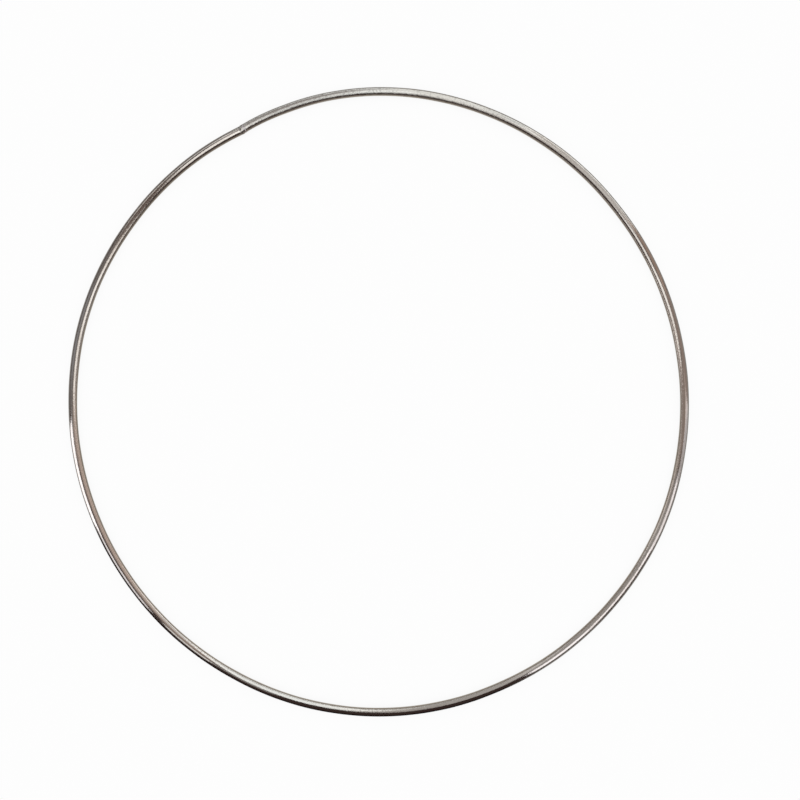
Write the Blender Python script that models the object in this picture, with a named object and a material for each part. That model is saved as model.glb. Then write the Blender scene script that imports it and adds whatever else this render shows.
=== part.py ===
"""A wire wreath frame: one length of round wire bent to a hoop, its two ends joined by a butt weld.

The hoop lies flat. The origin is at the centre of its outline, on the surface that it lies on, with +Z up.
Sizes are in metres. Angles are in degrees, anticlockwise from +X as seen from above.
"""

import math

import bmesh
import bpy

# The wire, and the hoop that it is bent to
WIRE_DIAMETER = 0.0028
HOOP_DIAMETER = 0.2024  # outside, the mean of all directions, before the ends dip
OUT_OF_ROUND = 0.0029  # the widest outside diameter less the narrowest
NARROWEST_AT = 15.0

# The wire starts at the weld, runs anticlockwise and finishes at the weld again. Both ends dip inwards there.
WELD_AT = 116.3
START_DIP = 0.0029
START_REACH = 70.0  # the angle over which the dip falls to about a third
FINISH_DIP = 0.00275
FINISH_REACH = 18.0

# The weld between the two ends
WELD_LENGTH = 0.0016
WELD_CROWN = 0.00012  # how far the weld stands proud of the wire
FIT_GAP = 0.0003  # between the weld and each end of the wire

# How finely the round shapes are cut into flats
SECTION_FLATS = 16  # a multiple of four, so that the underside is one of the flats
HOOP_STATIONS = 145
WELD_STATIONS = 7

WIRE_COLOUR = (0.55, 0.53, 0.50, 1.0)
WIRE_ROUGHNESS = 0.28
WELD_COLOUR = (0.62, 0.60, 0.57, 1.0)
WELD_ROUGHNESS = 0.42
SHARP_ANGLE = 40.0

WIRE_RADIUS = WIRE_DIAMETER / 2


def clear_scene():
    """Removes every object that the scene starts with."""
    for obj in list(bpy.data.objects):
        bpy.data.objects.remove(obj, do_unlink=True)


def metal(name, colour, roughness):
    """A plain metal with the given colour and roughness."""
    material = bpy.data.materials.new(name)
    material.use_nodes = True
    shader = material.node_tree.nodes["Principled BSDF"]
    shader.inputs["Base Color"].default_value = colour
    shader.inputs["Metallic"].default_value = 1.0
    shader.inputs["Roughness"].default_value = roughness
    return material


def hoop_radius(travel):
    """The distance of the wire's centre line from the bending centre, this many degrees past the weld."""
    round_hoop = HOOP_DIAMETER / 2 - WIRE_RADIUS
    oval = OUT_OF_ROUND / 4 * math.cos(math.radians(2 * (WELD_AT + travel - NARROWEST_AT)))
    start = START_DIP * math.exp(-travel / START_REACH)
    finish = FINISH_DIP * math.exp(-(360 - travel) / FINISH_REACH)
    return round_hoop - oval - start - finish


def hoop_point(travel):
    """The centre line's (x, y) from the bending centre, this many degrees past the weld."""
    angle = math.radians(WELD_AT + travel)
    radius = hoop_radius(travel)
    return radius * math.cos(angle), radius * math.sin(angle)


def hoop_heading(travel):
    """The direction in radians in which the wire runs, this many degrees past the weld."""
    step = 0.01
    x0, y0 = hoop_point(travel - step)
    x1, y1 = hoop_point(travel + step)
    return math.atan2(y1 - y0, x1 - x0)


def half_opening():
    """Half the angle that the weld and its two gaps take out of the hoop, in degrees."""
    return math.degrees((WELD_LENGTH / 2 + FIT_GAP) / hoop_radius(0))


def spread(first, last, count):
    """Evenly spaced values from first to last."""
    return [first + (last - first) * i / (count - 1) for i in range(count)]


def wire_stations():
    """The wire's sections from its start to its finish: x, y, heading and radius."""
    gap = half_opening()
    return [
        (*hoop_point(travel), hoop_heading(travel), WIRE_RADIUS)
        for travel in spread(gap, 360 - gap, HOOP_STATIONS)
    ]


def moved_along(station, distance):
    """The (x, y) this far ahead of a section, in the direction in which it faces."""
    x, y, heading, _ = station
    return x + distance * math.cos(heading), y + distance * math.sin(heading)


def weld_stations(wire):
    """The weld's sections, from the wire's finish across to its start, each face parallel to the end it meets."""
    x0, y0 = moved_along(wire[-1], FIT_GAP)
    x1, y1 = moved_along(wire[0], -FIT_GAP)
    heading0 = wire[-1][2]
    turn = math.remainder(wire[0][2] - heading0, math.tau)
    sections = []
    for share in spread(0.0, 1.0, WELD_STATIONS):
        crown = WELD_CROWN * math.sqrt(max(0.0, 1 - (2 * share - 1) ** 2))
        x = x0 + (x1 - x0) * share
        y = y0 + (y1 - y0) * share
        sections.append((x, y, heading0 + turn * share, WIRE_RADIUS + crown))
    return sections


def outline_centre(stations):
    """The middle of the hoop's outline in x and y."""
    xs = [station[0] for station in stations]
    ys = [station[1] for station in stations]
    return (max(xs) + min(xs)) / 2, (max(ys) + min(ys)) / 2


def section_ring(mesh, station, origin):
    """Adds one section's corners, its lowest flat on the surface that the hoop lies on."""
    x, y, heading, radius = station
    corner_radius = radius / math.cos(math.pi / SECTION_FLATS)
    ring = []
    for i in range(SECTION_FLATS):
        angle = math.tau * (i + 0.5) / SECTION_FLATS
        outwards = corner_radius * math.cos(angle)
        up = radius + corner_radius * math.sin(angle)
        corner = (x + outwards * math.sin(heading), y - outwards * math.cos(heading), up)
        ring.append(mesh.verts.new([corner[k] - origin[k] for k in range(3)]))
    return ring


def swept_solid(name, stations, origin, material, parent):
    """A closed solid through the sections, as a named object with its own origin.

    Args:
        name: the object's name.
        stations: the sections in order: x, y, heading and radius.
        origin: the object's place, in the hoop's frame.
        material: its material.
        parent: the empty that carries it.
    """
    shape = bmesh.new()
    rings = [section_ring(shape, station, origin) for station in stations]
    for near, far in zip(rings, rings[1:]):
        for i in range(SECTION_FLATS):
            j = (i + 1) % SECTION_FLATS
            shape.faces.new((near[i], near[j], far[j], far[i]))
    shape.faces.new(rings[0])
    shape.faces.new(rings[-1])
    bmesh.ops.recalc_face_normals(shape, faces=shape.faces)
    mesh = bpy.data.meshes.new(name)
    shape.to_mesh(mesh)
    shape.free()
    mesh.materials.append(material)
    mesh.shade_smooth()
    mesh.set_sharp_from_angle(angle=math.radians(SHARP_ANGLE))
    solid = bpy.data.objects.new(name, mesh)
    bpy.context.collection.objects.link(solid)
    solid.parent = parent
    solid.location = origin


def main():
    """Builds the wire and its weld round the centre of the hoop's outline."""
    clear_scene()
    wire = wire_stations()
    weld = weld_stations(wire)
    centre_x, centre_y = outline_centre(wire)
    wire = [(x - centre_x, y - centre_y, heading, radius) for x, y, heading, radius in wire]
    weld = [(x - centre_x, y - centre_y, heading, radius) for x, y, heading, radius in weld]

    frame = bpy.data.objects.new("wreath_frame", None)
    bpy.context.collection.objects.link(frame)
    plating = metal("plated_wire", WIRE_COLOUR, WIRE_ROUGHNESS)
    fused = metal("fused_metal", WELD_COLOUR, WELD_ROUGHNESS)
    middle = weld[len(weld) // 2]
    swept_solid("ring_wire", wire, (0.0, 0.0, 0.0), plating, frame)
    swept_solid("butt_weld", weld, (middle[0], middle[1], middle[3]), fused, frame)


main()
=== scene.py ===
"""The finished look of a wire wreath frame: one length of plated wire bent to a hoop and butt welded.

Lengths are in metres. Angles are in degrees, anticlockwise from +X as seen from above. The hoop lies flat
on z = 0. A place on the wire is given by its travel: the degrees past the weld, anticlockwise, from 0 to 360.
"""

import logging
import math
import random
from dataclasses import dataclass, field

import bpy
from mathutils import Matrix, Vector


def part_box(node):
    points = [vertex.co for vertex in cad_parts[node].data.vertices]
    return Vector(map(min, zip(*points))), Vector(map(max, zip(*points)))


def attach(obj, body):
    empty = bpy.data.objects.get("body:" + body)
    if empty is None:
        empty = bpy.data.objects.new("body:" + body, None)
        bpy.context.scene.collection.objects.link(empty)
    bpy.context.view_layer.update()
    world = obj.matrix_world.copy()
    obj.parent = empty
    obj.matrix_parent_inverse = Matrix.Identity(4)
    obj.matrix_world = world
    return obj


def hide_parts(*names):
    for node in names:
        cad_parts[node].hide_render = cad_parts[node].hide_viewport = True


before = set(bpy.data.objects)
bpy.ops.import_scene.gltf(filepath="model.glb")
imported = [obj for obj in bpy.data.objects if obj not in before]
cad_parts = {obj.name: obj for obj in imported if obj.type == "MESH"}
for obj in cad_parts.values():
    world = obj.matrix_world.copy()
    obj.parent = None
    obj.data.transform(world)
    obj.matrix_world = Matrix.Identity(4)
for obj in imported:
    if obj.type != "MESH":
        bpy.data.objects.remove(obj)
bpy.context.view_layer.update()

Colour = tuple[float, float, float]
Place = tuple[float, float, float]
Socket = bpy.types.NodeSocket

LAY = "wire_lay"  # the mesh attribute that says where on the wire a point is
BAKE_MAP = "OFBake"
MAP_END = 0.01  # the rim left free at both ends of a row of the map, as a share of its length
MAP_SIDE = 0.05  # and along its sides, as a share of its height

HALF_OPENING = 0.0011  # from the middle of the weld to each end of the wire
TRAVEL_STEP = 0.01  # the small step that gives the line's direction, in degrees
SHARP_ANGLE = 50.0


# ---------------------------------------------------------------------------------------------------------
# Node trees
# ---------------------------------------------------------------------------------------------------------


class NodeSheet:
    """A node tree that is filled in from code."""

    def __init__(self, tree: bpy.types.NodeTree) -> None:
        """Takes over an existing tree.

        Args:
            tree: the material's, world's or group's node tree.
        """
        self.tree = tree

    def feed(self, socket: Socket, value: object) -> None:
        """Links a socket to another one, or sets its value.

        Args:
            socket: the input to feed.
            value: another node's output, a number, or a colour or vector.
        """
        if isinstance(value, bpy.types.NodeSocket):
            self.tree.links.new(value, socket)
        elif isinstance(value, tuple) and len(value) == 3 and socket.type == "RGBA":
            socket.default_value = (*value, 1.0)
        else:
            socket.default_value = value

    def add(
        self, kind: str, inputs: dict[str | int, object] | None = None, **settings: object
    ) -> bpy.types.Node:
        """Adds one node.

        Args:
            kind: the node's type name without the leading "ShaderNode".
            inputs: values or sockets for its inputs, by name or place.
            **settings: the node's own properties.

        Returns:
            The new node.
        """
        node = self.tree.nodes.new("ShaderNode" + kind)
        for name, value in settings.items():
            setattr(node, name, value)
        for name, value in (inputs or {}).items():
            self.feed(node.inputs[name], value)
        return node

    def maths(self, operation: str, *values: object) -> Socket:
        """The result of one sum on up to three values."""
        node = self.add("Math", dict(enumerate(values)), operation=operation)
        return node.outputs[0]

    def ramp(self, value: Socket, start: float, stop: float, low: float = 0.0, high: float = 1.0) -> Socket:
        """Turns a value smoothly from one number to another.

        Args:
            value: what is read.
            start: where the turn begins.
            stop: where it ends.
            low: the result up to the start.
            high: the result from the stop on.

        Returns:
            The output socket.
        """
        inputs = {"Value": value, "From Min": start, "From Max": stop, "To Min": low, "To Max": high}
        node = self.add("MapRange", inputs, interpolation_type="SMOOTHSTEP")
        return node.outputs["Result"]

    def blend(self, share: object, first: object, second: object, how: str = "MIX") -> Socket:
        """Mixes two colours.

        Args:
            share: how much of the second colour.
            first: the colour at no share.
            second: the colour at full share.
            how: Blender's blend type.

        Returns:
            The output socket.
        """
        node = self.add("Mix", data_type="RGBA", blend_type=how)
        for place, value in ((0, share), (6, first), (7, second)):
            self.feed(node.inputs[place], value)
        return node.outputs[2]

    def stretched(self, vector: Socket, along: Socket | float, across: Socket | float) -> Socket:
        """Scales a place on the wire, so that a pattern gets its own size along the wire and round it.

        Args:
            vector: the place on the wire.
            along: the scale along the wire.
            across: the scale in the wire's section.

        Returns:
            The output socket.
        """
        scale = self.add("CombineXYZ", {"X": along, "Y": across, "Z": across})
        node = self.add("VectorMath", {0: vector, 1: scale.outputs[0]}, operation="MULTIPLY")
        return node.outputs[0]


class EffectGroup:
    """A shader node group with named sockets, built once and placed in each material that uses it."""

    name = "effect"
    inputs: dict[str, tuple[str, float]] = {}
    outputs: tuple[str, ...] = ()

    def __init__(self) -> None:
        """Makes the group and its sockets, then fills it in."""
        self.tree = bpy.data.node_groups.new(self.name, "ShaderNodeTree")
        face = self.tree.interface
        for name, (kind, value) in self.inputs.items():
            socket = face.new_socket(name=name, in_out="INPUT", socket_type=kind)
            if kind == "NodeSocketFloat":
                socket.default_value = value
        for name in self.outputs:
            face.new_socket(name=name, in_out="OUTPUT", socket_type="NodeSocketFloat")
        sheet = NodeSheet(self.tree)
        source = self.tree.nodes.new("NodeGroupInput")
        sink = self.tree.nodes.new("NodeGroupOutput")
        for name, socket in self.fill(sheet, source).items():
            sheet.feed(sink.inputs[name], socket)

    def fill(self, sheet: NodeSheet, source: bpy.types.Node) -> dict[str, Socket]:
        """Builds the group's inside. Each kind of effect has its own.

        Args:
            sheet: the group's tree.
            source: the group's input node.

        Returns:
            The socket for each output, by name.
        """
        raise NotImplementedError

    def place(self, sheet: NodeSheet, **values: object) -> bpy.types.Node:
        """Puts the group into a material.

        Args:
            sheet: the material's tree.
            **values: its inputs, with underscores for spaces.

        Returns:
            The group node.
        """
        node = sheet.add("Group", node_tree=self.tree)
        for name, value in values.items():
            sheet.feed(node.inputs[name.replace("_", " ")], value)
        return node


class DieLines(EffectGroup):
    """The fine lines that the drawing die leaves along a wire."""

    name = "die_lines"
    inputs = {
        "Lay": ("NodeSocketVector", 0.0),
        "Line Width": ("NodeSocketFloat", 0.0002),
        "Line Length": ("NodeSocketFloat", 0.02),
    }
    outputs = ("Lines",)

    def fill(self, sheet: NodeSheet, source: bpy.types.Node) -> dict[str, Socket]:
        """Noise drawn out along the wire."""
        along = sheet.maths("DIVIDE", 1.0, source.outputs["Line Length"])
        across = sheet.maths("DIVIDE", 1.0, source.outputs["Line Width"])
        lay = sheet.stretched(source.outputs["Lay"], along, across)
        noise = sheet.add("TexNoise", {"Vector": lay, "Scale": 1.0, "Detail": 3.0, "Roughness": 0.6})
        return {"Lines": sheet.ramp(noise.outputs[0], 0.3, 0.7)}


class PlatingGrain(EffectGroup):
    """The uneven grain of a plated surface: soft swellings with small pits between them."""

    name = "plating_grain"
    inputs = {
        "Lay": ("NodeSocketVector", 0.0),
        "Grain Size": ("NodeSocketFloat", 0.0003),
    }
    outputs = ("Grain", "Pits")

    def fill(self, sheet: NodeSheet, source: bpy.types.Node) -> dict[str, Socket]:
        """Soft noise for the swellings, and the dark corners of a cell pattern for the pits."""
        scale = sheet.maths("DIVIDE", 1.0, source.outputs["Grain Size"])
        lay = sheet.stretched(source.outputs["Lay"], scale, scale)
        swell = sheet.add("TexNoise", {"Vector": lay, "Scale": 0.8, "Detail": 2.5, "Roughness": 0.55})
        cells = sheet.add("TexVoronoi", {"Vector": lay, "Scale": 0.7, "Randomness": 1.0})
        pits = sheet.ramp(cells.outputs["Distance"], 0.55, 0.85)
        grain = sheet.maths("SUBTRACT", swell.outputs[0], sheet.maths("MULTIPLY", pits, 0.35))
        return {"Grain": grain, "Pits": pits}


class HandlingFilm(EffectGroup):
    """The thin, patchy tarnish that handling leaves on bright plating."""

    name = "handling_film"
    inputs = {
        "Lay": ("NodeSocketVector", 0.0),
        "Patch Length": ("NodeSocketFloat", 0.03),
    }
    outputs = ("Film",)

    def fill(self, sheet: NodeSheet, source: bpy.types.Node) -> dict[str, Socket]:
        """Long soft patches, wider than the wire is thick."""
        along = sheet.maths("DIVIDE", 1.0, source.outputs["Patch Length"])
        across = sheet.maths("MULTIPLY", along, 6.0)
        lay = sheet.stretched(source.outputs["Lay"], along, across)
        noise = sheet.add("TexNoise", {"Vector": lay, "Scale": 1.0, "Detail": 4.0, "Roughness": 0.6})
        return {"Film": sheet.ramp(noise.outputs[0], 0.42, 0.68)}


@dataclass
class Effects:
    """The node groups that the metals share."""

    lines: DieLines = field(default_factory=DieLines)
    grain: PlatingGrain = field(default_factory=PlatingGrain)
    film: HandlingFilm = field(default_factory=HandlingFilm)


# ---------------------------------------------------------------------------------------------------------
# Finishes
# ---------------------------------------------------------------------------------------------------------


@dataclass(frozen=True)
class Frosting:
    """A stretch of wire whose plating is frosted instead of bright, by distance along the wire."""

    rises_from: float
    full_from: float
    raggedness: float = 0.008  # how far the film's patches move its edge


@dataclass(frozen=True)
class RoughShadedBand:
    """A narrow band round the metal, rougher than the rest and given its own colour, placed along the lay.
    Where that colour is dark, it is painted shade.
    """

    middle: float
    half_width: float
    strength: float
    added_roughness: float
    colour: Colour
    soft_edge: float = 1.7  # how much wider it is with its soft edges

    def share(self, sheet: NodeSheet, lay: Socket) -> Socket:
        """How much of the band shows at each place.

        Args:
            sheet: the material's tree.
            lay: the place on the metal.

        Returns:
            The socket.
        """
        along = sheet.add("SeparateXYZ", {0: lay}).outputs["X"]
        off = sheet.maths("ABSOLUTE", sheet.maths("SUBTRACT", along, self.middle))
        return sheet.ramp(off, self.half_width, self.half_width * self.soft_edge, self.strength, 0.0)


@dataclass(frozen=True)
class PaintedShadeSpot:
    """A small dark spot of painted shade, placed by its lay on the metal."""

    place: Place
    reach: float
    colour: Colour
    core: float = 0.4  # the share of its reach over which it is darkest
    strength: float = 0.9

    def share(self, sheet: NodeSheet, lay: Socket) -> Socket:
        """How much of the stain shows at each place.

        Args:
            sheet: the material's tree.
            lay: the place on the metal.

        Returns:
            The socket.
        """
        away = sheet.add("VectorMath", {0: lay, 1: self.place}, operation="DISTANCE").outputs["Value"]
        return sheet.ramp(away, self.reach * self.core, self.reach, self.strength, 0.0)


@dataclass(frozen=True)
class PlatedMetal:
    """Nickel plating on steel wire, bright or frosted."""

    name: str
    colour: Colour
    tarnish: Colour
    tarnish_share: float
    roughness: float
    frosted_roughness: float
    line_depth: float
    grain_size: float
    grain_depth: float
    bright_grain: float  # how much of the grain shows where the plating is bright
    frosting: Frosting | None = None
    bands: tuple[RoughShadedBand, ...] = ()
    painted_shade_spot: PaintedShadeSpot | None = None
    line_width: float = 0.00022
    line_length: float = 0.018
    line_roughness: float = 0.05
    patch_length: float = 0.03
    film_roughness: float = 0.04
    pit_share: float = 0.45  # how much of the darker shade a pit takes on
    pit_shade: float = 0.45  # that shade, as a share of the metal's colour
    rough_skin: float = 0.8  # how frosted metal is that is frosted all over,
    rough_skin_film: float = 0.2  # and how much more where the film lies

    def frost(self, sheet: NodeSheet, lay: Socket, film: Socket) -> Socket:
        """How frosted the plating is at each place on the wire.

        Args:
            sheet: the material's tree.
            lay: the place on the wire.
            film: the patchy film, which breaks the stretch's edges up.

        Returns:
            The socket, from the bright plating's share of the grain up to 1.
        """
        if self.frosting is None:
            return sheet.maths("MULTIPLY_ADD", film, self.rough_skin_film, self.rough_skin)
        place = sheet.add("SeparateXYZ", {0: lay}).outputs["X"]
        ragged = sheet.maths("MULTIPLY_ADD", film, self.frosting.raggedness, place)
        stretch = sheet.ramp(ragged, self.frosting.rises_from, self.frosting.full_from)
        patches = sheet.maths("MULTIPLY_ADD", film, self.bright_grain, self.bright_grain)
        return sheet.maths("MAXIMUM", stretch, patches)

    def material(self, effects: Effects) -> bpy.types.Material:
        """Builds the material.

        Args:
            effects: the node groups.

        Returns:
            The new material.
        """
        material = bpy.data.materials.new(self.name)
        material.use_nodes = True
        sheet = NodeSheet(material.node_tree)
        shader = material.node_tree.nodes["Principled BSDF"]
        lay = sheet.add("Attribute", attribute_name=LAY).outputs["Vector"]
        drawn = effects.lines.place(sheet, Lay=lay, Line_Width=self.line_width, Line_Length=self.line_length)
        lines = drawn.outputs["Lines"]
        grain = effects.grain.place(sheet, Lay=lay, Grain_Size=self.grain_size)
        film = effects.film.place(sheet, Lay=lay, Patch_Length=self.patch_length).outputs["Film"]
        frost = self.frost(sheet, lay, film)

        tint = sheet.blend(sheet.maths("MULTIPLY", film, self.tarnish_share), self.colour, self.tarnish)
        pits = sheet.maths("MULTIPLY", grain.outputs["Pits"], frost)
        shade = tuple(channel * self.pit_shade for channel in self.colour)
        finish = sheet.blend(sheet.maths("MULTIPLY", pits, self.pit_share), tint, shade)
        rough = sheet.ramp(frost, 0.0, 1.0, self.roughness, self.frosted_roughness)
        if self.painted_shade_spot:
            finish = sheet.blend(self.painted_shade_spot.share(sheet, lay), finish, self.painted_shade_spot.colour)
        # rougher bands, each with its own colour; a dark band colour is painted shade
        for band in self.bands:
            share = band.share(sheet, lay)
            rough = sheet.maths("MULTIPLY_ADD", share, band.added_roughness, rough)
            finish = sheet.blend(share, finish, band.colour)
        sheet.feed(shader.inputs["Base Color"], finish)
        rough = sheet.maths("MULTIPLY_ADD", lines, self.line_roughness, rough)
        sheet.feed(shader.inputs["Roughness"], sheet.maths("MULTIPLY_ADD", film, self.film_roughness, rough))

        height = sheet.maths("MULTIPLY", grain.outputs["Grain"], frost)
        fine = sheet.add("Bump", {"Height": lines, "Distance": self.line_depth}).outputs[0]
        coarse = sheet.add("Bump", {"Height": height, "Distance": self.grain_depth, "Normal": fine})
        sheet.feed(shader.inputs["Normal"], coarse.outputs[0])
        shader.inputs["Metallic"].default_value = 1.0
        return material


# ---------------------------------------------------------------------------------------------------------
# Shapes
# ---------------------------------------------------------------------------------------------------------


@dataclass(frozen=True)
class HoopLine:
    """The wire's centre line: a slightly oval hoop whose two ends dip inwards at the weld."""

    wire: float = 0.0028
    outside: float = 0.2024
    out_of_round: float = 0.0029
    narrowest_at: float = 15.0
    weld_at: float = 116.3
    start_dip: float = 0.0029
    start_reach: float = 70.0
    finish_dip: float = 0.00275
    finish_reach: float = 18.0

    def radius(self, travel: float) -> float:
        """The distance from the bending centre at this travel."""
        twice_round = math.radians(2 * (self.weld_at + travel - self.narrowest_at))
        oval = self.out_of_round / 4 * math.cos(twice_round)
        start = self.start_dip * math.exp(-travel / self.start_reach)
        finish = self.finish_dip * math.exp(-(360 - travel) / self.finish_reach)
        return self.outside / 2 - self.wire / 2 - oval - start - finish

    def point(self, travel: float) -> Vector:
        """The centre line's point from the bending centre, on z = 0."""
        bearing = math.radians(self.weld_at + travel)
        return Vector((math.cos(bearing), math.sin(bearing), 0.0)) * self.radius(travel)

    def heading(self, travel: float) -> Vector:
        """The direction in which the wire runs at this travel."""
        return (self.point(travel + TRAVEL_STEP) - self.point(travel - TRAVEL_STEP)).normalized()


@dataclass(frozen=True)
class Kink:
    """A stretch where the wire runs a little outside its regular line, or inside it, by bearing."""

    bearing: float
    reach: float
    outwards: float

    def at(self, bearing: float) -> float:
        """How far outwards the kink takes the wire at this bearing."""
        return self.outwards * math.exp(-((math.remainder(bearing - self.bearing, 360) / self.reach) ** 2))


KINKS = (
    Kink(40, 8, -0.00018),
    Kink(108, 8, -0.0002),
    Kink(145, 8, -0.00014),
    Kink(168, 9, 0.0001),
    Kink(262, 24, 0.0002),
    Kink(294, 7, -0.00018),
    Kink(338, 16, 0.00032),
)


@dataclass(frozen=True)
class Bend:
    """The hoop line moved and stretched so that it lies where the frame's own wire lies."""

    line: HoopLine
    centre: Vector
    stretch: Vector

    @classmethod
    def to_frame(cls, line: HoopLine) -> "Bend":
        """Fits the line to the frame's wire.

        Args:
            line: the hoop line round its own bending centre.

        Returns:
            The bend, whose outline matches the box of the frame's wire.
        """
        low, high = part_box("ring_wire")
        points = [line.point(travel / 2) for travel in range(2 * 360 + 1)]
        outline = [(min(p[k] for p in points), max(p[k] for p in points)) for k in (0, 1)]
        centre = Vector([(a + b) / 2 for a, b in outline] + [0.0])
        thick = high.z - low.z
        stretch = [(high[k] - low[k] - thick) / (outline[k][1] - outline[k][0]) for k in (0, 1)]
        return cls(line, centre, Vector((*stretch, 1.0)))

    def point(self, travel: float) -> Vector:
        """The wire's centre in the frame, on z = 0."""
        moved = self.line.point(travel) - self.centre
        return Vector((moved.x * self.stretch.x, moved.y * self.stretch.y, 0.0))

    def heading(self, travel: float) -> Vector:
        """The direction in which the wire runs in the frame."""
        return (self.point(travel + TRAVEL_STEP) - self.point(travel - TRAVEL_STEP)).normalized()


@dataclass
class Section:
    """One cut across a piece of metal: its middle, the way it faces, and its radius at each corner."""

    middle: Vector
    heading: Vector
    along: float
    radii: list[float]

    def corners(self) -> list[Vector]:
        """The outline of the cut, from its outer side over the top."""
        out = Vector((self.heading.y, -self.heading.x, 0.0))
        count = len(self.radii)
        points = []
        for i, radius in enumerate(self.radii):
            turn = math.tau * i / count
            points.append(self.middle + (out * math.cos(turn) + Vector((0, 0, math.sin(turn)))) * radius)
        return points

    def lays(self) -> list[tuple[float, float, float]]:
        """Where each corner is on the wire: the distance along it, and its place in the section."""
        count = len(self.radii)
        turns = [math.tau * i / count for i in range(count)]
        return [(self.along, r * math.cos(t), r * math.sin(t)) for t, r in zip(turns, self.radii)]


@dataclass
class SweptMetal:
    """A closed solid through a row of sections, with its lay and its bake map."""

    name: str
    sections: list[Section]
    map_rows: int = 1

    def build(self) -> bpy.types.Object:
        """Makes the object.

        Returns:
            The object, not yet riding on a body.
        """
        round_count = len(self.sections[0].radii)
        points = [corner for section in self.sections for corner in section.corners()]
        lays = [place for section in self.sections for place in section.lays()]
        faces, places = self.wall(round_count)
        for end, first in ((self.sections[0], 0), (self.sections[-1], len(points) - round_count)):
            hub = len(lays)
            lays.append((end.along, 0.0, 0.0))
            cap = self.cap(hub, first, round_count, first > 0)
            faces += cap[0]
            places += cap[1]
        points += [self.sections[0].middle, self.sections[-1].middle]
        mesh = bpy.data.meshes.new(self.name)
        mesh.from_pydata(points, [], faces)
        lay = mesh.attributes.new(LAY, "FLOAT_VECTOR", "POINT")
        lay.data.foreach_set("vector", [value for place in lays for value in place])
        bake_map = mesh.uv_layers.new(name=BAKE_MAP)
        bake_map.uv.foreach_set("vector", [value for place in places for value in place])
        mesh.shade_smooth()
        mesh.set_sharp_from_angle(angle=math.radians(SHARP_ANGLE))
        mesh.validate()
        obj = bpy.data.objects.new(self.name, mesh)
        bpy.context.scene.collection.objects.link(obj)
        return obj

    def wall(self, count: int) -> tuple[list, list]:
        """The faces round the sections and their map, cut into rows that are stacked up.

        Args:
            count: the corners of a section.

        Returns:
            The faces, and the map place of each of their corners in turn.
        """
        spans = len(self.sections) - 1
        per_row = math.ceil(spans / self.map_rows)
        faces, places = [], []
        for i in range(spans):
            row, place = divmod(i, per_row)
            for j in range(count):
                k = (j + 1) % count
                near, far = i * count, (i + 1) * count
                faces.append((near + j, near + k, far + k, far + j))
                for across, step in ((j, 0), (j + 1, 0), (j + 1, 1), (j, 1)):
                    places.append(self.map_place((place + step) / per_row, row, across / count))
        return faces, places

    def map_place(self, along: float, row: int, across: float) -> tuple[float, float]:
        """A map place from shares along and across one of the rows, with a rim round each row."""
        up = row + MAP_SIDE + (1 - 2 * MAP_SIDE) * across
        return MAP_END + (1 - 2 * MAP_END) * along, up / (self.map_rows + 1)

    def cap(self, hub: int, first: int, count: int, far: bool) -> tuple[list, list]:
        """The faces that close one end, and their map in the spare row on top.

        Args:
            hub: the index of the end's middle point.
            first: the index of the end section's first corner.
            count: the corners of a section.
            far: whether it is the far end.

        Returns:
            The faces, and the map place of each of their corners in turn.
        """
        rows = self.map_rows + 1
        reach = 0.4 / rows
        middle = (0.75 if far else 0.25, (rows - 0.5) / rows)
        faces, places = [], []
        for j in range(count):
            k = (j + 1) % count
            pair = ((first + j, j), (first + k, j + 1))
            rim = pair if far else pair[::-1]
            faces.append((hub, rim[0][0], rim[1][0]))
            places.append(middle)
            for _, step in rim:
                turn = math.tau * step / count
                places.append((middle[0] + reach * math.cos(turn), middle[1] + reach * math.sin(turn)))
        return faces, places


class Ripple:
    """A gentle random unevenness: a few waves with seeded phases, added up."""

    def __init__(self, seed: int, height: float, lengths: tuple[float, ...]) -> None:
        """Draws the waves.

        Args:
            seed: the seed of the phases.
            height: the height of the longest wave.
            lengths: the wave lengths, longest first. Shorter waves are lower in proportion.
        """
        draw = random.Random(seed)
        self.waves = [
            (height * length / lengths[0], length, draw.uniform(0, math.tau)) for length in lengths
        ]

    def at(self, along: float, shift: float = 0.0) -> float:
        """The unevenness at this distance, with an extra phase in radians."""
        turns = [(height, math.tau * along / length + phase + shift) for height, length, phase in self.waves]
        return sum(height * math.sin(turn) for height, turn in turns)


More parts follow.
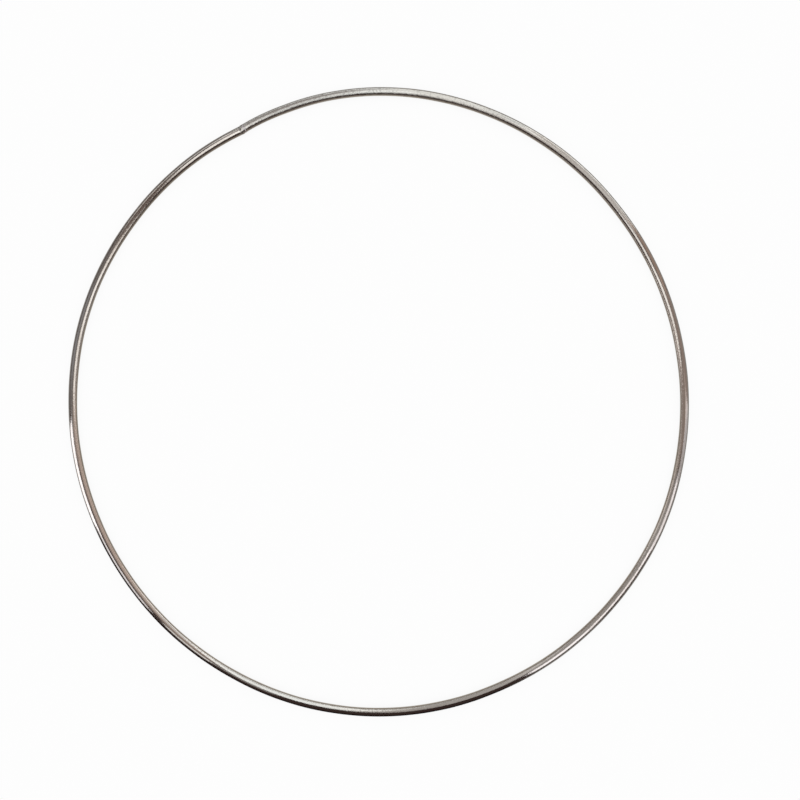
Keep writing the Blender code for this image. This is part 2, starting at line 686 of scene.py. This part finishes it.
@dataclass
class WireHoop:
    """The length of plated wire, from the weld round to the weld again."""

    bend: Bend
    radius: float
    half_opening: float = HALF_OPENING
    flats: int = 40
    stations: int = 1050
    faded_stations: int = 25  # over which the unevenness dies away at each end
    map_rows: int = 7
    set_by_rollers: float = 0.00001  # how far the section is out of round
    set_lengths: tuple[float, ...] = (0.047, 0.021, 0.0093)
    wander: float = 0.00002  # how far the wire wanders from its line
    wander_lengths: tuple[float, ...] = (0.061, 0.037, 0.017, 0.0083)
    kinks: tuple[Kink, ...] = KINKS

    def sections(self) -> list[Section]:
        """The wire's sections, slightly uneven, as bending rollers leave it."""
        gap = math.degrees(self.half_opening / self.bend.line.radius(0))
        oval = Ripple(3, self.set_by_rollers, self.set_lengths)
        aside = Ripple(8, self.wander, self.wander_lengths)
        made: list[Section] = []
        along = 0.0
        last = self.bend.point(gap)
        for i in range(self.stations + 1):
            travel = gap + (360 - 2 * gap) * i / self.stations
            middle = self.bend.point(travel)
            along += (middle - last).length
            last = middle
            heading = self.bend.heading(travel)
            out = Vector((heading.y, -heading.x, 0.0))
            fade = min(1.0, i / self.faded_stations, (self.stations - i) / self.faded_stations)
            turns = [math.tau * j / self.flats for j in range(self.flats)]
            radii = [self.radius + oval.at(along, 2 * turn) * fade for turn in turns]
            bearing = self.bend.line.weld_at + travel
            off = sum(kink.at(bearing) for kink in self.kinks) + aside.at(along)
            middle = middle + out * off * fade + Vector((0, 0, self.radius))
            made.append(Section(middle, heading, along, radii))
        return made

    def build(self) -> bpy.types.Object:
        """Makes the wire, which stands for the frame's own."""
        piece = SweptMetal("plated_hoop", self.sections(), self.map_rows).build()
        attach(piece, "root")
        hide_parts("ring_wire")
        return piece

    def dress(self, piece: bpy.types.Object, effects: Effects) -> None:
        """Plates the wire. The stretch that runs up to the weld from the right is frosted.

        Args:
            piece: the wire.
            effects: the node groups.
        """
        length = math.tau * (self.bend.line.outside / 2 - self.radius)
        plating = PlatedMetal(
            name="bright_nickel_on_wire",
            colour=(0.62, 0.585, 0.54),
            tarnish=(0.46, 0.40, 0.34),
            tarnish_share=0.45,
            roughness=0.11,
            frosted_roughness=0.24,
            line_depth=0.000003,
            grain_size=0.0004,
            grain_depth=0.000048,
            bright_grain=0.3,
            frosting=Frosting(length - 0.108, length - 0.082),
        )
        piece.data.materials.append(plating.material(effects))


@dataclass(frozen=True)
class Mark:
    """A mark on the collar that rises and falls along it, placed from the collar's middle."""

    along: float
    reach: float
    height: float

    def at(self, along: float) -> float:
        """The mark's height at this distance from the collar's middle."""
        return self.height * math.exp(-(((along - self.along) / self.reach) ** 2))


@dataclass
class ButtWeld:
    """The fused collar between the wire's two ends, with the marks that the welding left."""

    bend: Bend
    radius: float
    half_opening: float = HALF_OPENING
    overlap: float = 0.0002  # how far the collar runs on over each end of the wire
    crown: float = 0.00004
    step_from: float = 0.36  # the share of the length at which the sideways step begins,
    step_over: float = 0.28  # and the share that it takes
    tuck: float = 0.00007  # how far the collar's ends sink into the wire,
    tuck_lead: float = 0.00002  # and how far before the wire's end that begins
    outer_burr: Mark = Mark(0.0001, 0.00018, 0.0001)
    inner_ridge: Mark = Mark(-0.0006, 0.00014, 0.00011)
    ridge_turn: float = 0.2  # how far the ridge leans off the innermost line, in radians
    press_at: float = -0.0001  # the flat that the welding jaws pressed: its place along the collar,
    press_reach: float = 0.00048  # its half length,
    press_turn: float = 0.4  # its half width round the section, in radians,
    press_limit: float = 0.6  # and the turn past which it rises no further
    pit_at: float = 0.00074  # the pit: its place along the collar, and its angle round the section
    pit_angle: float = 85.0
    pit_reach: float = 0.00026
    pit_depth: float = 0.0001
    flats: int = 64
    stations: int = 56

    def centre(self, share: float) -> tuple[Vector, Vector]:
        """The collar's middle and heading at a share of its length, from the wire's finish to its start.

        Args:
            share: from 0 at the finish to 1 at the start.

        Returns:
            The point on z = 0, and the heading.
        """
        gap = math.degrees((self.half_opening + self.overlap) / self.bend.line.radius(0))
        finish, start = self.bend.point(360 - gap), self.bend.point(gap)
        step = max(0.0, min(1.0, (share - self.step_from) / self.step_over))
        eased = step * step * (3 - 2 * step)
        ahead = (start - finish).normalized()
        before, after = self.bend.heading(360 - gap), self.bend.heading(gap)
        run = (start - finish).length
        kept = finish + before * run * share
        met = start - after * run * (1 - share)
        return kept.lerp(met, eased), ahead

    def relief(self, along: float, turn: float) -> float:
        """How far the collar stands proud of the wire.

        Args:
            along: the distance from the collar's middle, towards the wire's start.
            turn: the angle round the section in radians, from the outer side over the top.

        Returns:
            The height above the wire's own radius.
        """
        reach = self.half_opening + self.overlap
        body = self.crown * math.sqrt(max(0.0, 1 - (along / reach) ** 2))
        past_end = max(0.0, (abs(along) - self.half_opening + self.tuck_lead) / self.overlap)
        burr = self.outer_burr.at(along) * max(0.0, math.cos(turn))
        ridge = self.inner_ridge.at(along) * max(0.0, -math.cos(turn + self.ridge_turn))
        return body - self.tuck * past_end + burr + ridge + self.bead(along, turn) + self.pit(along, turn)

    def bead(self, along: float, turn: float) -> float:
        """The extra height that makes the pressed top of the collar flat.

        Args:
            along: the distance from the collar's middle.
            turn: the angle round the section in radians.

        Returns:
            The height there.
        """
        off_top = math.remainder(turn - math.radians(90.0), math.tau)
        lengthwise = math.exp(-(((along - self.press_at) / self.press_reach) ** 4))
        crosswise = math.exp(-((off_top / self.press_turn) ** 4))
        rise = 1 / math.cos(min(abs(off_top), self.press_limit)) - 1
        return lengthwise * crosswise * self.radius * rise

    def pit(self, along: float, turn: float) -> float:
        """The round pit beside the pressed flat.

        Args:
            along: the distance from the collar's middle.
            turn: the angle round the section in radians.

        Returns:
            The height there, less than nothing.
        """
        aside = math.remainder(turn - math.radians(self.pit_angle), math.tau) * self.radius
        return -self.pit_depth * math.exp(-((along - self.pit_at) ** 2 + aside**2) / self.pit_reach**2)

    def sections(self) -> list[Section]:
        """The collar's sections from the wire's finish across to its start."""
        reach = self.half_opening + self.overlap
        made = []
        for i in range(self.stations + 1):
            share = i / self.stations
            along = (2 * share - 1) * reach
            middle, heading = self.centre(share)
            turns = [math.tau * j / self.flats for j in range(self.flats)]
            radii = [self.radius + self.relief(along, turn) for turn in turns]
            under = max(radius * -math.sin(turn) for turn, radius in zip(turns, radii))
            lift = max(self.radius, under)
            made.append(Section(middle + Vector((0, 0, lift)), heading, along, radii))
        return made

    def build(self) -> bpy.types.Object:
        """Makes the collar, which stands for the frame's own weld."""
        piece = SweptMetal("weld_collar", self.sections()).build()
        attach(piece, "root")
        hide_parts("butt_weld")
        return piece

    def dress(self, piece: bpy.types.Object, effects: Effects) -> None:
        """Gives the collar the same plating over a rougher skin, with painted shade darkening it round the
        pit.

        Args:
            piece: the collar.
            effects: the node groups.
        """
        fused = PlatedMetal(
            name="plated_weld_skin",
            colour=(0.66, 0.63, 0.59),
            tarnish=(0.40, 0.34, 0.28),
            tarnish_share=0.5,
            roughness=0.13,
            frosted_roughness=0.24,
            line_depth=0.000002,
            grain_size=0.00022,
            grain_depth=0.00002,
            bright_grain=0.6,
            bands=(
                RoughShadedBand(-0.00056, 0.0001, 1.0, 0.4, (0.68, 0.62, 0.64)),
                # painted shade: a dark band round the collar through the pit
                RoughShadedBand(0.00072, 0.00014, 0.7, 0.1, (0.33, 0.32, 0.29)),
            ),
            # painted shade: a dark spot over the pit and just past it
            painted_shade_spot=PaintedShadeSpot((0.0009, 0.00014, 0.00138), 0.0004, (0.14, 0.13, 0.11)),
        )
        piece.data.materials.append(fused.material(effects))


# ---------------------------------------------------------------------------------------------------------
# The studio
# ---------------------------------------------------------------------------------------------------------


@dataclass(frozen=True)
class SoftBox:
    """A soft box close to one stretch of the wire, placed by where the camera is to see its mirror image.

    The image runs along the wire from one bearing to another. Across the wire it runs from inner to outer,
    where -1 is the wire's inner edge, 0 its middle and 1 its outer edge.
    """

    name: str
    bearings: tuple[float, float]
    inner: float
    outer: float
    brightness: float
    tint: Colour = (1.0, 1.0, 1.0)
    distance: float = 0.05
    spread: float = 180.0  # the full angle over which the box gives light, which a grid on its face narrows
    hoop_radius: float = 0.0995
    camera_lean: float = 9.4  # how far from upright the camera sees the wire, on average

    def leans(self) -> tuple[float, float]:
        """The angles from straight up at which the wire sees the box's two edges, outwards, in radians."""
        camera = math.radians(self.camera_lean)
        return 2 * math.asin(self.inner) - camera, 2 * math.asin(self.outer) - camera

    def lean(self) -> float:
        """The angle from straight up at which the wire sees the box's middle, outwards, in radians."""
        return sum(self.leans()) / 2

    def place(self) -> Matrix:
        """Where the box is, with its lit face along its own -Z."""
        bearing, lean = math.radians(sum(self.bearings) / 2), self.lean()
        out = Vector((math.cos(bearing), math.sin(bearing), 0.0))
        aside = Vector((-out.y, out.x, 0.0))
        back = out * math.sin(lean) + Vector((0.0, 0.0, math.cos(lean)))
        turn = Matrix((aside, back.cross(aside), back)).transposed().to_4x4()
        return Matrix.Translation(out * self.hoop_radius + back * self.distance) @ turn

    def size(self) -> tuple[float, float]:
        """The box's breadth along the hoop and its depth across it."""
        first, last = self.leans()
        span = math.radians(self.bearings[1] - self.bearings[0])
        from_middle = self.hoop_radius + self.distance * math.sin(self.lean())
        return 2 * from_middle * math.tan(span / 2), 2 * self.distance * math.tan((last - first) / 2)

    def grid_gain(self) -> float:
        """How much brighter straight ahead a grid makes a lamp of the same power."""
        half = math.radians(self.spread) / 2
        return math.tan(half) / (math.tan(half) - half)

    def power(self) -> float:
        """The lamp's power in watts, which gives the box its brightness."""
        breadth, depth = self.size()
        return self.brightness * math.pi * breadth * depth / self.grid_gain()

    def build(self, lit: bpy.types.Collection) -> bpy.types.Object:
        """Makes the lamp, which lights only the metal.

        Args:
            lit: the collection of pieces that the box lights.

        Returns:
            The lamp.
        """
        lamp = bpy.data.lights.new(self.name, "AREA")
        lamp.shape = "RECTANGLE"
        lamp.size, lamp.size_y = self.size()
        lamp.energy = self.power()
        lamp.spread = math.radians(self.spread)
        lamp.color = self.tint
        obj = bpy.data.objects.new(self.name, lamp)
        obj.matrix_world = self.place()
        obj.visible_camera = False
        obj.light_linking.receiver_collection = lit
        bpy.context.scene.collection.objects.link(obj)
        return obj


WARM: Colour = (1.0, 0.84, 0.76)
BROWN: Colour = (1.0, 0.76, 0.64)
COOL: Colour = (0.90, 0.97, 1.0)
CLEAR: Colour = (0.94, 0.94, 1.0)

GRID = 112.0  # keeps a window's light off the far side of the hoop

SOFT_BOXES = (
    # Crisp streaks along the crown and the inner side
    SoftBox("right_streak", (9, 26), -0.34, 0.10, 1.3, distance=0.06),
    SoftBox("right_streak_back", (26, 37), -0.24, 0.09, 1.15, distance=0.06),
    SoftBox("weld_streak", (115.6, 133), -0.24, 0.17, 1.25),
    SoftBox("left_streak", (147, 180), -0.42, -0.01, 1.35),
    SoftBox("front_streak", (237, 268), -0.45, 0.06, 1.35, COOL),
    SoftBox("front_streak_rim", (237, 250), 0.10, 0.34, 0.28),
    SoftBox("front_streak_low", (220, 238), -0.62, -0.20, 0.64),
    # Windows on the outer side
    SoftBox("left_window", (184, 204), 0.28, 0.80, 1.9, CLEAR, distance=0.025),
    SoftBox("left_window_front", (204, 222), 0.28, 0.60, 1.15, CLEAR, distance=0.025),
    SoftBox("front_left_patch", (226, 237), 0.20, 0.48, 0.9, distance=0.03),
    SoftBox("front_window", (299, 315), 0.13, 0.54, 1.85, CLEAR, distance=0.025, spread=GRID),
    SoftBox("front_window_top", (315, 331), 0.10, 0.46, 1.9, CLEAR, distance=0.025, spread=GRID),
    SoftBox("right_window", (331, 345), 0.15, 0.64, 1.62, CLEAR, distance=0.025, spread=GRID),
    SoftBox("right_window_back", (345, 360), 0.25, 0.85, 0.65, CLEAR),
    SoftBox("back_window", (60, 94), 0.05, 0.65, 0.85, COOL),
    SoftBox("back_window_core", (68, 88), 0.20, 0.60, 0.6, COOL),
    # The bright ceiling over the back
    SoftBox("ceiling_right", (38, 72), -0.22, 0.15, 0.65),
    SoftBox("ceiling_middle", (72, 97), -0.22, 0.18, 1.05, COOL),
    SoftBox("ceiling_left", (97, 118), -0.20, 0.18, 0.9, COOL),
    # Fills on the outer side
    SoftBox("fill_back_left", (92, 122), 0.10, 0.60, 0.36),
    SoftBox("fill_back_right", (36, 62), 0.35, 0.80, 0.6),
    SoftBox("fill_back_right_top", (34, 62), 0.10, 0.40, 0.52),
    SoftBox("fill_back_rim", (34, 118), 0.60, 0.80, 1.1, COOL),
    SoftBox("fill_weld", (118, 146), 0.40, 0.62, 0.75),
    SoftBox("fill_weld_top", (134, 150), -0.30, 0.40, 0.09, (1.0, 0.72, 0.6)),
    SoftBox("fill_left", (147, 184), 0.0, 0.65, 0.18),
    SoftBox("fill_left_blue", (158, 177), 0.25, 0.62, 0.13, (0.72, 0.84, 1.0)),
    SoftBox("fill_right", (-2, 22), 0.16, 0.85, 0.30, WARM),
    SoftBox("fill_right_back", (22, 36), 0.25, 0.80, 0.34, BROWN),
    # Fills on the inner side
    SoftBox("inner_left", (181, 222), -0.62, -0.20, 0.48, WARM),
    SoftBox("inner_left_top", (181, 238), -0.30, 0.08, 0.36, WARM),
    SoftBox("inner_front", (266, 300), -0.50, 0.15, 0.48),
    SoftBox("inner_front_right", (298, 330), -0.50, -0.15, 0.34),
    SoftBox("inner_front_right_top", (298, 345), -0.20, 0.12, 0.36),
    SoftBox("inner_right", (330, 341), -0.62, -0.20, 0.62),
    SoftBox("inner_right_end", (341, 350), -0.55, -0.20, 0.4),
    SoftBox("inner_right_back", (346, 370), -0.62, 0.30, 0.28, WARM),
)


@dataclass
class Studio:
    """The pale floor, the soft boxes round the hoop and the camera above it."""

    pale: float = 0.985
    floor_inside: Colour = (0.28, 0.25, 0.22)  # the floor as the metal mirrors it: inside the hoop,
    floor_outside: Colour = (0.34, 0.33, 0.32)  # outside it,
    floor_painted_shadow: Colour = (0.01, 0.007, 0.006)  # outside it at the front left, darkened by a painted shadow,
    near_painted_light: float = 0.3  # and how much painted light brightens it right beside the wire
    near_painted_tint: Colour = (1.0, 1.0, 0.95)
    painted_shadow_bearing: float = 250.0
    painted_shadow_edge: tuple[float, float] = (0.58, 0.74)  # the cosines from that bearing at which the painted shadow sets in
    hoop_edge: tuple[float, float] = (0.0985, 0.1)  # where the floor turns from the inside to the outside
    near_edge: tuple[float, float] = (0.092, 0.0975)  # and where that painted light brightens it towards the wire
    mirrored_room: Colour = (0.05, 0.032, 0.03)
    floor_size: float = 6.0
    floor_gap: float = 0.0001  # how far below the hoop it lies
    shadow_reach: float = 0.006
    shadow_depth: float = 0.08
    camera_height: float = 0.6
    view_width: float = 0.2578  # how much of the floor the picture takes in
    camera_aside: tuple[float, float] = (0.0069, 0.0005)
    boxes: tuple[SoftBox, ...] = SOFT_BOXES

    def build_floor(self) -> bpy.types.Object:
        """Lays the pale floor, with a faint soft shadow where the metal meets it.

        Returns:
            The floor.
        """
        half = self.floor_size / 2
        corners = ((-half, -half), (half, -half), (half, half), (-half, half))
        mesh = bpy.data.meshes.new("floor")
        mesh.from_pydata([(x, y, -self.floor_gap) for x, y in corners], [], [(0, 1, 2, 3)])
        floor = bpy.data.objects.new("floor", mesh)
        bpy.context.scene.collection.objects.link(floor)
        material = bpy.data.materials.new("pale_floor")
        material.use_nodes = True
        tree = material.node_tree
        tree.nodes.clear()
        sheet = NodeSheet(tree)
        shade = sheet.add("AmbientOcclusion", {"Distance": self.shadow_reach}, samples=6).outputs["AO"]
        seen = sheet.ramp(shade, 0.0, 1.0, self.pale * (1 - self.shadow_depth), self.pale)
        ray = sheet.add("LightPath").outputs["Is Camera Ray"]
        mirrored = sheet.add("Emission", {"Color": self.mirrored_floor(sheet)})
        plain = sheet.add("Emission", {"Strength": seen})
        both = sheet.add("MixShader", {0: ray, 1: mirrored.outputs[0], 2: plain.outputs[0]})
        sheet.add("OutputMaterial", {"Surface": both.outputs[0]})
        mesh.materials.append(material)
        return floor

    def mirrored_floor(self, sheet: NodeSheet) -> Socket:
        """The floor's colour as the metal mirrors it: browner and darker inside the hoop, darkened by a
        painted shadow at the front left, and brightened by painted light right beside the wire.

        Args:
            sheet: the floor's node tree.

        Returns:
            The colour.
        """
        place = sheet.add("NewGeometry").outputs["Position"]
        from_middle = sheet.add("VectorMath", {0: place}, operation="LENGTH").outputs["Value"]
        # a painted shadow on the mirrored floor, towards the front left
        bearing = math.radians(self.painted_shadow_bearing)
        shadow_way = (math.cos(bearing), math.sin(bearing), 0.0)
        towards = sheet.add("VectorMath", {0: place, 1: shadow_way}, operation="DOT_PRODUCT").outputs["Value"]
        shadow_share = sheet.ramp(sheet.maths("DIVIDE", towards, from_middle), *self.painted_shadow_edge)
        around = sheet.blend(shadow_share, self.floor_outside, self.floor_painted_shadow)
        inside = sheet.ramp(from_middle, *self.hoop_edge, 1.0, 0.0)
        # painted light on the mirrored floor just inside the hoop, beside the wire
        near = sheet.maths("MULTIPLY", inside, sheet.ramp(from_middle, *self.near_edge, 0.0, self.near_painted_light))
        return sheet.blend(near, sheet.blend(inside, around, self.floor_inside), self.near_painted_tint, "ADD")

    def build_world(self) -> None:
        """Makes the room: pale to look at, and dim where the metal mirrors it."""
        world = bpy.data.worlds.new("studio")
        world.use_nodes = True
        world.node_tree.nodes.clear()
        sheet = NodeSheet(world.node_tree)
        ray = sheet.add("LightPath").outputs["Is Camera Ray"]
        mirrored = sheet.add("Background", {"Color": self.mirrored_room})
        plain = sheet.add("Background", {"Color": (self.pale,) * 3})
        both = sheet.add("MixShader", {0: ray, 1: mirrored.outputs[0], 2: plain.outputs[0]})
        sheet.add("OutputWorld", {"Surface": both.outputs[0]})
        bpy.context.scene.world = world
        bpy.context.scene.view_settings.view_transform = "Standard"

    def build_lights(self, metal: list[bpy.types.Object]) -> None:
        """Puts up the soft boxes.

        Args:
            metal: the pieces that they light.
        """
        lit = bpy.data.collections.new("lit_by_soft_boxes")
        for piece in metal:
            lit.objects.link(piece)
        for box in self.boxes:
            box.build(lit)

    def build_camera(self, wire_radius: float) -> None:
        """Hangs the camera straight above the hoop.

        Args:
            wire_radius: half the wire's thickness, at which height the view is measured.
        """
        lens = bpy.data.cameras.new("overhead_camera")
        lens.sensor_width = 36.0
        lens.lens = lens.sensor_width * self.camera_height / self.view_width
        lens.clip_start = 0.01
        camera = bpy.data.objects.new("overhead_camera", lens)
        camera.location = (*self.camera_aside, self.camera_height + wire_radius)
        bpy.context.scene.collection.objects.link(camera)
        bpy.context.scene.camera = camera


# ---------------------------------------------------------------------------------------------------------
# The whole picture
# ---------------------------------------------------------------------------------------------------------


def main() -> None:
    """Builds the wire, the weld and the studio in turn."""
    logging.basicConfig(level=logging.INFO, format="%(message)s")
    low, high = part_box("ring_wire")
    radius = (high.z - low.z) / 2
    bend = Bend.to_frame(HoopLine())
    effects = Effects()
    metal = []
    for part in (WireHoop(bend, radius), ButtWeld(bend, radius)):
        piece = part.build()
        part.dress(piece, effects)
        metal.append(piece)
        size = " x ".join(f"{side * 1000:.2f}" for side in piece.dimensions)
        logging.info("%s: %s mm, %d faces", piece.name, size, len(piece.data.polygons))
    studio = Studio()
    studio.build_floor()
    studio.build_world()
    studio.build_lights(metal)
    studio.build_camera(radius)
    logging.info("stretch to the frame: %.5f, %.5f", bend.stretch.x, bend.stretch.y)


if __name__ == "__main__":
    main()
